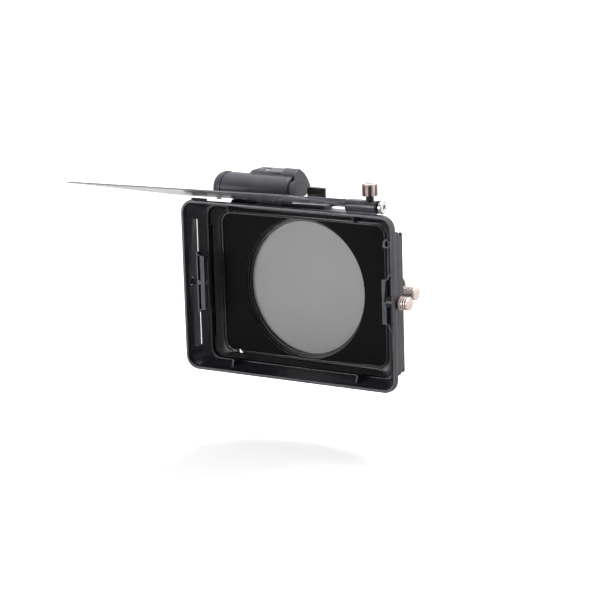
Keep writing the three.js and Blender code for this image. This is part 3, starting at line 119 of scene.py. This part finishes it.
def ranged_value(tree, value, start, end, low, high):
    """A value that goes from low to high while another goes from start to end."""
    ramp = tree.nodes.new("ShaderNodeMapRange")
    for key, number in (("From Min", start), ("From Max", end), ("To Min", low), ("To Max", high)):
        ramp.inputs[key].default_value = number
    tree.links.new(value, ramp.inputs["Value"])
    return ramp.outputs["Result"]


def part_of(tree, vector, axis):
    """The part of a vector along one axis."""
    split = tree.nodes.new("ShaderNodeSeparateXYZ")
    tree.links.new(vector, split.inputs[0])
    return split.outputs[axis]


def mixed(tree, share, first, second):
    mix = tree.nodes.new("ShaderNodeMixShader")
    tree.links.new(share, mix.inputs["Fac"])
    tree.links.new(first, mix.inputs[1])
    tree.links.new(second, mix.inputs[2])
    return mix.outputs[0]


def make_world():
    """Soft light all round; white to the camera; in reflections white behind the box, darker in front."""
    world = bpy.data.worlds.new("studio")
    world.use_nodes = True
    scene.world = world
    tree = world.node_tree
    tree.nodes.clear()
    soft, gloss, white = [tree.nodes.new("ShaderNodeBackground") for _ in range(3)]
    soft.inputs["Color"].default_value = SOFT_COLOUR
    soft.inputs["Strength"].default_value = SOFT_LIGHT
    gloss.inputs["Color"].default_value = WHITE
    white.inputs["Color"].default_value = WHITE
    white.inputs["Strength"].default_value = 1.0
    toward = tree.nodes.new("ShaderNodeTexCoord").outputs["Generated"]
    depth = part_of(tree, toward, "Y")
    behind = ranged_value(tree, depth, -GLOSS_TURN, GLOSS_TURN, FRONT_GLOSS, REAR_GLOSS)
    tree.links.new(behind, gloss.inputs["Strength"])
    lit = mixed(tree, ray_switch(tree, ["Is Glossy Ray"]), soft.outputs[0], gloss.outputs[0])
    seen = mixed(tree, ray_switch(tree, ["Is Camera Ray", "Is Transmission Ray"]), lit, white.outputs[0])
    out = tree.nodes.new("ShaderNodeOutputWorld")
    tree.links.new(seen, out.inputs["Surface"])


def make_floor_material():
    """White to the camera, with the box's shadow; in reflections white behind the box, darker in front."""
    made = bpy.data.materials.new("floor_white")
    made.use_nodes = True
    tree = made.node_tree
    tree.nodes.clear()
    seen_white, bounce = [tree.nodes.new("ShaderNodeBsdfDiffuse") for _ in range(2)]
    seen_white.inputs["Color"].default_value = (FLOOR_SEEN, FLOOR_SEEN, FLOOR_SEEN, 1)
    bounce.inputs["Color"].default_value = (FLOOR_BOUNCE, FLOOR_BOUNCE, FLOOR_BOUNCE, 1)
    glow, mirrored = [tree.nodes.new("ShaderNodeEmission") for _ in range(2)]
    mirrored.inputs["Color"].default_value = MIRROR_COLOUR
    place = tree.nodes.new("ShaderNodeTexCoord").outputs["Object"]
    far = tree.nodes.new("ShaderNodeVectorMath")
    far.operation = "LENGTH"
    tree.links.new(place, far.inputs[0])
    rising = ranged_value(tree, far.outputs["Value"], GLOW_START, GLOW_END, GLOW_NEAR, GLOW_FAR)
    tree.links.new(rising, glow.inputs["Strength"])
    depth = part_of(tree, place, "Y")
    behind = ranged_value(tree, depth, MIRROR_START, MIRROR_END, FRONT_GLOSS, REAR_GLOSS)
    tree.links.new(behind, mirrored.inputs["Strength"])
    add = tree.nodes.new("ShaderNodeAddShader")
    tree.links.new(seen_white.outputs[0], add.inputs[0])
    tree.links.new(glow.outputs[0], add.inputs[1])
    through = ray_switch(tree, ["Is Camera Ray", "Is Transmission Ray"])
    seen = mixed(tree, through, bounce.outputs[0], add.outputs[0])
    reflected = mixed(tree, ray_switch(tree, ["Is Glossy Ray"]), seen, mirrored.outputs[0])
    out = tree.nodes.new("ShaderNodeOutputMaterial")
    tree.links.new(reflected, out.inputs["Surface"])
    return made


def make_floor():
    mesh = bpy.data.meshes.new("floor")
    corners = [(x * FLOOR_REACH, y * FLOOR_REACH, 0) for x, y in ((-1, -1), (1, -1), (1, 1), (-1, 1))]
    mesh.from_pydata(corners, [], [(0, 1, 2, 3)])
    mesh.materials.append(make_floor_material())
    floor = bpy.data.objects.new("floor", mesh)
    floor.location = (0, 0, FLOOR_HEIGHT)
    scene.collection.objects.link(floor)


def make_lamps():
    target = Vector((0, FRONT, 0))
    for name, (place, size, power) in LAMPS.items():
        data = bpy.data.lights.new(name, "AREA")
        data.shape = "RECTANGLE"
        data.size, data.size_y = size
        data.energy = power
        lamp = bpy.data.objects.new(name, data)
        lamp.location = place
        lamp.rotation_euler = (target - Vector(place)).to_track_quat("-Z", "Y").to_euler()
        scene.collection.objects.link(lamp)


# Materials: reaches and bump depths in millimetres, noise scales in waves per metre
NOISE_LOW, NOISE_HIGH = 0.3, 0.7  # a noise stays mostly between these
SHADE_SAMPLES = 6
# A blend is full up to the low occlusion value and gone from the high one
# These ranges set the painted edge highlights and the painted hollow shade
EDGE_SHARE, EDGE_LOW, EDGE_HIGH = 0.8, 0.45, 0.85
HOLLOW_LOW, HOLLOW_HIGH = 0.15, 0.6


def rgb(hex_colour):
    """Linear colour of an sRGB hex number."""
    parts = [(hex_colour >> shift & 255) / 255 for shift in (16, 8, 0)]
    return tuple(p / 12.92 if p <= 0.04045 else ((p + 0.055) / 1.055) ** 2.4 for p in parts) + (1,)


class Surface:
    """A node material around one Principled shader, built step by step."""

    def __init__(self, name, metal=0.0):
        self.name = name
        self.mat = bpy.data.materials.new(name)
        self.mat.use_nodes = True
        self.tree = self.mat.node_tree
        self.shader = self.tree.nodes["Principled BSDF"]
        self.shader.inputs["Metallic"].default_value = metal
        self.colour = None

    def node(self, kind, **values):
        made = self.tree.nodes.new("ShaderNode" + kind)
        for key, value in values.items():
            setattr(made, key, value)
        return made

    def link(self, out, into):
        self.tree.links.new(out, into)

    def noise(self, scale, detail, roughness=0.55, stretch=(1, 1, 1)):
        """Noise in object coordinates, which stretch multiplies per axis."""
        coords = self.node("TexCoord")
        mapping = self.node("Mapping")
        mapping.inputs["Scale"].default_value = stretch
        self.link(coords.outputs["Object"], mapping.inputs["Vector"])
        made = self.node("TexNoise")
        made.inputs["Scale"].default_value = scale
        made.inputs["Detail"].default_value = detail
        made.inputs["Roughness"].default_value = roughness
        self.link(mapping.outputs["Vector"], made.inputs["Vector"])
        return made.outputs["Fac"]

    def ranged(self, value, low, high, start=NOISE_LOW, end=NOISE_HIGH):
        return ranged_value(self.tree, value, start, end, low, high)

    def colour_mix(self, share):
        """A colour mix by a value, set as the base colour; returns its two colour inputs."""
        mix = self.node("Mix", data_type="RGBA")
        self.link(share, mix.inputs[0])
        self.colour = [socket for socket in mix.outputs if socket.type == "RGBA"][0]
        self.link(self.colour, self.shader.inputs["Base Color"])
        return [socket for socket in mix.inputs if socket.type == "RGBA"]

    def tint(self, noise, dark, light):
        """Base colour that wanders between two colours with a noise."""
        first, second = self.colour_mix(self.ranged(noise, 0, 1))
        first.default_value = rgb(dark)
        second.default_value = rgb(light)

    def blended(self, share, colour):
        """Base colour so far, mixed with another by a value."""
        so_far = self.colour
        first, second = self.colour_mix(share)
        self.link(so_far, first)
        second.default_value = rgb(colour)

    def rough(self, noise, low, high):
        self.link(self.ranged(noise, low, high), self.shader.inputs["Roughness"])

    def bump(self, noise, depth, strength):
        made = self.node("Bump")
        made.inputs["Strength"].default_value = strength
        made.inputs["Distance"].default_value = depth * MM
        self.link(noise, made.inputs["Height"])
        self.link(made.outputs["Normal"], self.shader.inputs["Normal"])

    def painted_edge_shading(self, reach, edge):
        """Painted edge shading: another colour along outer edges, where the solid is thin under the
        surface; a lighter colour there is a painted highlight, a darker one painted shade.
        """
        thin = self.node("AmbientOcclusion", samples=SHADE_SAMPLES, inside=True, only_local=True)
        thin.inputs["Distance"].default_value = reach * MM
        self.blended(self.ranged(thin.outputs["AO"], EDGE_SHARE, 0, EDGE_LOW, EDGE_HIGH), edge)

    def painted_hollow_shade(self, reach, dark, amount):
        """Painted shade: a darker colour in corners and hollows, where shade falls."""
        open_air = self.node("AmbientOcclusion", samples=SHADE_SAMPLES)
        open_air.inputs["Distance"].default_value = reach * MM
        self.blended(self.ranged(open_air.outputs["AO"], amount, 0, HOLLOW_LOW, HOLLOW_HIGH), dark)


def satin(name, dark, light, rough, metal=0.0, grain=0.02, grain_scale=2600, edge=None, edge_reach=0.8):
    """Moulded or anodised surface: slow changes of tone, painted shade in hollows, fine grain and, given an
    edge colour, painted highlights along edges.
    """
    smoother, rougher, grain_strength = 0.05, 0.07, 0.35
    # Painted shade in hollows: its colour, reach and strength
    hollow_shade, hollow_reach, hollow_amount = 0x0b0b0d, 5, 0.75
    made = Surface(name, metal)
    made.tint(made.noise(scale=38, detail=4), dark, light)
    made.rough(made.noise(scale=120, detail=3), rough - smoother, rough + rougher)
    made.painted_hollow_shade(hollow_reach, hollow_shade, hollow_amount)
    if edge is not None:
        made.painted_edge_shading(edge_reach, edge)
    made.bump(made.noise(grain_scale, detail=2), grain, grain_strength)
    return made


def brush_lines(surface, stretch):
    """Noise drawn out into fine lines along the axis with the smallest stretch, also as a bump."""
    lines = surface.noise(scale=900, detail=3, roughness=0.6, stretch=stretch)
    surface.bump(lines, depth=0.006, strength=0.25)
    return lines


def brushed(name, dark, light, rough, stretch, metal=1.0, hollow_shade=None):
    """Metal with fine lines along one axis, and painted shade in its hollows when a hollow colour is given.
    """
    smoother, rougher, hollow_reach, hollow_amount = 0.04, 0.1, 2.6, 0.95
    made = Surface(name, metal)
    lines = brush_lines(made, stretch)
    made.tint(lines, dark, light)
    # Painted shade in hollows
    if hollow_shade is not None:
        made.painted_hollow_shade(hollow_reach, hollow_shade, hollow_amount)
    made.rough(lines, rough - smoother, rough + rougher)
    return made


def rose_metal():
    """Copper-coloured anodised metal, with painted shade in its hollows and in its cuts, which a mesh gives
    as its sunk values.
    """
    made = Surface("rose_metal", metal=0.45)
    lines = brush_lines(made, (0.12, 1, 1))
    made.tint(lines, dark=0xbdaba5, light=0xd6c5bf)
    # Painted shade in hollows
    made.painted_hollow_shade(reach=1.1, dark=0x3a2a28, amount=0.9)
    # Painted shade in the cuts of knurls, flutes and ring grooves, by how far each point is sunk
    cuts = made.node("Attribute", attribute_name="sunk")
    made.blended(cuts.outputs["Fac"], colour=0x33211f)
    made.rough(lines, low=0.34, high=0.46)
    return made


def flocking():
    """Black fibres with no gloss."""
    made = Surface("flocking")
    made.shader.inputs["Roughness"].default_value = 1.0
    made.shader.inputs["Specular IOR Level"].default_value = 0.05
    fibres = made.noise(scale=3200, detail=4, roughness=0.7)
    made.tint(fibres, dark=0x0d0d0d, light=0x191919)
    made.bump(fibres, depth=0.12, strength=0.6)
    return made


def smoked_glass():
    """Filter glass: one even grey with a clear gloss."""
    made = Surface("smoked_glass")
    made.tint(made.noise(scale=9, detail=2), dark=0x898889, light=0x8f8e8f)
    made.rough(made.noise(scale=30, detail=2), low=0.05, high=0.09)
    return made


def flag_sheet():
    """Thin anodised sheet, smooth enough to mirror what lies beyond it at a low angle."""
    made = Surface("flag_sheet", metal=0.3)
    made.tint(made.noise(scale=26, detail=4, roughness=0.6), dark=0x606065, light=0x67676c)
    made.rough(made.noise(scale=60, detail=3), low=0.14, high=0.2)
    # Painted shade: a darker colour along the sheet's edges
    made.painted_edge_shading(reach=0.5, edge=0x2a2a2d)
    made.bump(made.noise(scale=2600, detail=2), depth=0.008, strength=0.3)
    return made


def make_materials():
    """The finishes by name: those of the record's slots, and those that LOOK and paint_front_light name."""
    fine = {"grain": 0.008, "grain_scale": 3000}
    # The edge colours below are painted highlights along outer edges
    made = [
        satin("moulded_shell", 0x202026, 0x28282f, 0.4, edge=0x84848e, edge_reach=0.6),
        satin("drive_shell", 0x2e2e33, 0x39393f, 0.4, grain=0.05, edge=0x5c5c63, edge_reach=0.5),
        # Painted light for the hood's forward faces
        satin("hood_front_light", 0x3a3a41, 0x45454c, 0.4),
        satin("frame_black", 0x0d0d0f, 0x131316, 0.36, 0.1, edge=0x9a9aa4, edge_reach=0.45, **fine),
        satin("anodised_black", 0x25252a, 0x2d2d33, 0.4, 0.2, grain=0.008, grain_scale=3400, edge=0x6a6a74),
        satin("graphite", 0x2d2d32, 0x36363c, 0.36, 0.3, edge=0x77777e, **fine),
        satin("jaw_metal", 0x2d2d33, 0x35353c, 0.42, 0.2, edge=0x77777f, **fine),
        satin("bar_grey", 0x6a6a71, 0x74747b, 0.4, 0.2, **fine),
        satin("rail_black", 0x131315, 0x1a1a1d, 0.4, 0.2, edge=0x5c5c64, **fine),
        satin("ring_black", 0x0a0a0b, 0x101012, 0.34, 0.1, grain=0.006, grain_scale=3000),
        satin("black_rubber", 0x121214, 0x1b1b1e, 0.82, grain=0.05, grain_scale=1500),
        satin("board", 0x143a26, 0x1d5134, 0.45),
        brushed("black_steel", 0x1f1f22, 0x303034, 0.34, (0.05, 1, 1), 0.6),
        brushed("gear_metal", 0x8a8a8e, 0xb0b0b4, 0.3, (1, 0.08, 1)),
        brushed("bright_steel", 0xdededf, 0xf6f6f7, 0.14, (0.1, 1, 1), hollow_shade=0x1c1c1e),
        # Painted light: a lighter copy of the rose metal for the release lever, which lies in shade
        brushed("rose_painted_light", 0xf0dcd6, 0xfaebe7, 0.35, (1, 0.12, 1), 0.1),
        rose_metal(),
        flocking(),
        smoked_glass(),
        flag_sheet(),
    ]
    return {surface.name: surface.mat for surface in made}


# Finishes that differ from the record's slot, and edge radii that differ from the plain one
LOOK = {
    "hinge_barrel": "graphite", "flag_bar": "bar_grey",
    # The release lever's lighter rose is painted light
    "drive_button": "rose_metal", "release_lever": "rose_painted_light", "cartridge_rail": "rail_black",
    "clamp_jaw_left": "jaw_metal", "clamp_jaw_right": "jaw_metal", "aperture_frame": "frame_black",
    "toothed_filter_ring": "ring_black", "fixed_filter_ring": "ring_black",
}
PLAIN_EDGE = 0.22
EDGES = {
    "front_hood": 0.45, "drive_unit_shell": 0.35, "aperture_frame": 0.3, "top_flag": 0.15,
    "flock_pad_right": 0.1, "flock_pad_left": 0.1, "turning_polariser_glass": 0.1,
    "fixed_polariser_glass": 0.1, "control_board": 0.1, "latch_pin": 0.1, "lever_pin": 0.1,
    "toothed_filter_ring": 0.08, "idler_gear": 0.08, "motor_pinion": 0.08,
}
EDGE_STEPS = 2


# Pieces from the frame's nodes
SAME_POINT = 1e-6  # metres
CREASE_DEGREES = 34
FLAT_DEGREES, PAIR_DEGREES = 0.5, 50
# Faces of the hood that get painted light: those facing the front, near the rim or between the housings
LIP_FACING = 0.6  # least share of a normal that points to the front
LIP_DEPTH, HOUSING_HALF = 1.2, 50


def clean_mesh(node):
    """The node's mesh as one closed surface, with flat pairs of triangles joined."""
    bm = bmesh.new()
    bm.from_mesh(nodes[node].data)
    bmesh.ops.remove_doubles(bm, verts=bm.verts, dist=SAME_POINT)
    flat, pair = math.radians(FLAT_DEGREES), math.radians(PAIR_DEGREES)
    bmesh.ops.join_triangles(bm, faces=bm.faces, angle_face_threshold=flat, angle_shape_threshold=pair)
    return mesh_from(bm, node + "_skin")


def mesh_from(bm, name):
    mesh = bpy.data.meshes.new(name)
    bm.to_mesh(mesh)
    bm.free()
    return mesh


def smooth_by_angle(mesh, degrees):
    for face in mesh.polygons:
        face.use_smooth = True
    mesh.set_sharp_from_angle(angle=math.radians(degrees))


def put_on_body(mesh, node, material):
    """An object with this mesh and finish, on the body and in the slot of a CAD node."""
    mesh.materials.append(mats[material])
    piece = bpy.data.objects.new(mesh.name, mesh)
    scene.collection.objects.link(piece)
    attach(piece, body_of[node])
    return piece


def stand_in(mesh, node):
    """Puts a mesh in the place of a CAD node."""
    piece = put_on_body(mesh, node, LOOK.get(node, slot_of[node]))
    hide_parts(node)
    return piece


def round_edges(piece, width):
    soft = piece.modifiers.new("edges", "BEVEL")
    soft.width = width * MM
    soft.segments = EDGE_STEPS
    return soft


def skin(node):
    """Stands for a CAD node: the same shape with its edges rounded."""
    mesh = clean_mesh(node)
    smooth_by_angle(mesh, CREASE_DEGREES)
    piece = stand_in(mesh, node)
    soft = round_edges(piece, EDGES.get(node, PLAIN_EDGE))
    soft.limit_method = "ANGLE"
    soft.angle_limit = math.radians(CREASE_DEGREES)
    soft.harden_normals = True
    soft.use_clamp_overlap = False
    soft.loop_slide = False
    # The hood gets painted light on its forward faces
    if node == "front_hood":
        paint_front_light(mesh)


def paint_front_light(mesh):
    """Painted light: a lighter colour on the hood's forward faces, the rim's front and the fronts inside
    the hood, where the front light falls.
    """
    mesh.materials.append(mats["hood_front_light"])
    for face in mesh.polygons:
        depth = (face.center.y - FRONT) / MM
        height = abs(face.center.z) / MM
        if face.normal.y < -LIP_FACING and (depth < LIP_DEPTH or height < HOUSING_HALF):
            face.material_index = 1


# Turned knobs: rings are (place along the axis, radius)
def node_box(node):
    """Lowest and highest corner of a CAD node."""
    points = [nodes[node].matrix_world @ vert.co for vert in nodes[node].data.vertices]
    low = [min(point[i] for point in points) / MM for i in range(3)]
    high = [max(point[i] for point in points) / MM for i in range(3)]
    low[1] -= FRONT / MM
    high[1] -= FRONT / MM
    return low, high


def knob_place(node):
    """Start and end along X, the middle as (Y, Z) and the radius of a round CAD node."""
    low, high = node_box(node)
    middle = ((low[1] + high[1]) / 2, (low[2] + high[2]) / 2)
    return low[0], high[0], middle, (high[2] - low[2]) / 2


def quarter(steps):
    """Angles of a quarter turn."""
    return [math.pi / 2 * i / steps for i in range(steps + 1)]


def rounded_end(end, radius, rim, steps):
    """Rings of a round rim that closes at the end."""
    return [(end - rim + rim * math.sin(a), radius - rim * (1 - math.cos(a))) for a in quarter(steps)]


def turned_mesh(name, rings, middle, sides, plain_end, cut=None, upright=False, full_sink=0.45):
    """A closed body turned about X, or about Z if upright.

    A cut takes some of the radius away at (place, angle), for knurling or flutes. Each vertex has how
    far it is sunk below the widest ring, as a share of full_sink, but not within plain_end of the end.
    """
    bm = bmesh.new()
    sunk = bm.verts.layers.float.new("sunk")
    widest = max(radius for _, radius in rings)
    last_sunk = rings[-1][0] - plain_end
    loops = []
    for place, radius in rings:
        loop = []
        for i in range(sides):
            angle = 2 * math.pi * i / sides
            r = radius - (cut(place, angle) if cut else 0)
            across, up = middle[0] + r * math.cos(angle), middle[1] + r * math.sin(angle)
            vert = bm.verts.new(at(across, up, place) if upright else at(place, across, up))
            vert[sunk] = min(1, (widest - r) / full_sink) if place < last_sunk else 0
            loop.append(vert)
        loops.append(loop)
    for first, second in zip(loops, loops[1:]):
        for i in range(sides):
            j = (i + 1) % sides
            bm.faces.new((first[i], first[j], second[j], second[i]))
    bm.faces.new(loops[0])
    bm.faces.new(loops[-1])
    bmesh.ops.recalc_face_normals(bm, faces=bm.faces)
    return mesh_from(bm, name)


def knurled_knob():
    """Side lock knob: crossed cuts all along, a plain lip and a rounded end."""
    node = "lock_knob"
    start, end, middle, radius = knob_place(node)
    starts, pitch, depth, land_share = 12, 2.5, 0.66, 2 / 3
    lip, rim, foot, foot_length, clear, step_up = 0.7, 0.9, 0.5, 0.3, 0.4, 0.05
    rows, sides, rim_steps, plain_end, crease = 84, 312, 5, 1.2, 60
    knurl_start, knurl_end = start + foot_length, end - rim - lip

    def into_groove(way):
        """0 in the middle of a land, 1 in the middle of a groove."""
        return abs(way % 1 - 0.5) * 2

    def cut(x, angle):
        if x < start + clear or x > knurl_end:
            return 0
        turn = angle * starts / (2 * math.pi)
        way = (x - start) / pitch
        deepest = max(into_groove(turn + way), into_groove(turn - way))
        return depth * max(0, (deepest - land_share) / (1 - land_share))

    rings = [(start, radius - foot)]
    rings += [(knurl_start + (knurl_end - knurl_start) * i / rows, radius) for i in range(rows + 1)]
    rings += [(knurl_end + step_up, radius)]
    rings += rounded_end(end, radius, rim, rim_steps)
    mesh = turned_mesh("lock_knob_knurled", rings, middle, sides, plain_end, cut)
    smooth_by_angle(mesh, crease)
    stand_in(mesh, node)


def ringed_knob():
    """Clamp knob: four ring grooves and a rounded end."""
    node = "clamp_knob_right"
    start, end, middle, radius = knob_place(node)
    grooves, depth, width, pitch, slope, land = 4, 0.6, 0.9, 1.75, 0.12, 0.2
    foot, foot_length, first_groove, rim = 0.5, 0.4, 0.45, 0.6
    sides, rim_steps, plain_end, crease = 96, 4, 1.2, 40
    rings = [(start, radius - foot), (start + foot_length, radius)]
    for i in range(grooves):
        near = start + first_groove + i * pitch
        rings += [(near, radius), (near + slope, radius - depth), (near + width - slope, radius - depth)]
        rings += [(near + width, radius), (near + width + land, radius)]
    rings += rounded_end(end, radius, rim, rim_steps)
    mesh = turned_mesh("clamp_knob_ringed", rings, middle, sides, plain_end)
    smooth_by_angle(mesh, crease)
    stand_in(mesh, node)


def fluted_head():
    """Thumbscrew head: six finger flutes, rounded rims and a small crown."""
    node = "flag_thumbscrew"
    low, high = node_box(node)
    middle = ((low[0] + high[0]) / 2, (low[1] + high[1]) / 2)
    bottom, top_of_crown = low[2], high[2]
    radius, rim, crown, crown_radius, crown_foot, crown_foot_height = 5.5, 0.8, 1.3, 3.0, 0.2, 0.3
    crown_chamfer_height, crown_chamfer = 0.4, 0.5
    flutes, first_flute, flute_radius, sink, fade_length = 6, math.radians(-56.4), 2.6, 1.25, 1.6
    clear, step_up, rows, rim_steps, sides, above_crown_foot, crease = 0.05, 0.02, 8, 5, 144, 0.9, 40
    top = top_of_crown - crown
    flute_from_axis = radius + flute_radius - sink
    between = 2 * math.pi / flutes

    def cut(z, angle):
        if z > top - clear or z < bottom + clear:
            return 0
        near = (angle - first_flute + between / 2) % between - between / 2
        inside = flute_radius ** 2 - (flute_from_axis * math.sin(near)) ** 2
        if inside <= 0:
            return 0
        fade = min(1, (top - z) / fade_length)
        return fade * max(0, radius - (flute_from_axis * math.cos(near) - math.sqrt(inside)))

    straight = top - bottom - 2 * rim
    rings = [(bottom + rim * (1 - math.cos(a)), radius - rim * (1 - math.sin(a)))
             for a in quarter(rim_steps)]
    rings += [(bottom + rim + straight * i / rows, radius) for i in range(1, rows + 1)]
    rings += rounded_end(top, radius, rim, rim_steps)[1:]
    rings += [(top + step_up, crown_radius + crown_foot), (top + crown_foot_height, crown_radius)]
    rings += [(top_of_crown - crown_chamfer_height, crown_radius)]
    rings += [(top_of_crown, crown_radius - crown_chamfer)]
    mesh = turned_mesh("thumbscrew_head", rings, middle, sides, crown + above_crown_foot, cut, True, sink)
    smooth_by_angle(mesh, crease)
    stand_in(mesh, node)


# Trim on the hood
def housing_lip(name, side):
    """Short flange that carries a clamp housing's outer wall on to the rear."""
    outer, wall, start, end, half = 88.0, 1.8, 13.6, 15.2, 49.6
    slant, corner, edge = 0.7, 0.3, 0.2
    upper = [(end, half - slant - corner), (end - corner, half - slant), (start, half)]
    outline = [(y, -z) for y, z in reversed(upper)] + upper
    bm = bmesh.new()
    near, far = [[bm.verts.new(at(side * x, y, z)) for y, z in outline] for x in (outer - wall, outer)]
    for i in range(len(outline)):
        j = (i + 1) % len(outline)
        bm.faces.new((near[i], near[j], far[j], far[i]))
    bm.faces.new(near)
    bm.faces.new(far)
    bmesh.ops.recalc_face_normals(bm, faces=bm.faces)
    piece = put_on_body(mesh_from(bm, name), "front_hood", slot_of["front_hood"])
    round_edges(piece, edge)


OWN_PIECES = {"lock_knob": knurled_knob, "clamp_knob_right": ringed_knob, "flag_thumbscrew": fluted_head}

make_camera()
make_world()
make_floor()
make_lamps()
mats = make_materials()
for node in nodes:
    if node in OWN_PIECES:
        OWN_PIECES[node]()
    else:
        skin(node)
housing_lip("housing_lip_left", -1)
housing_lip("housing_lip_right", 1)
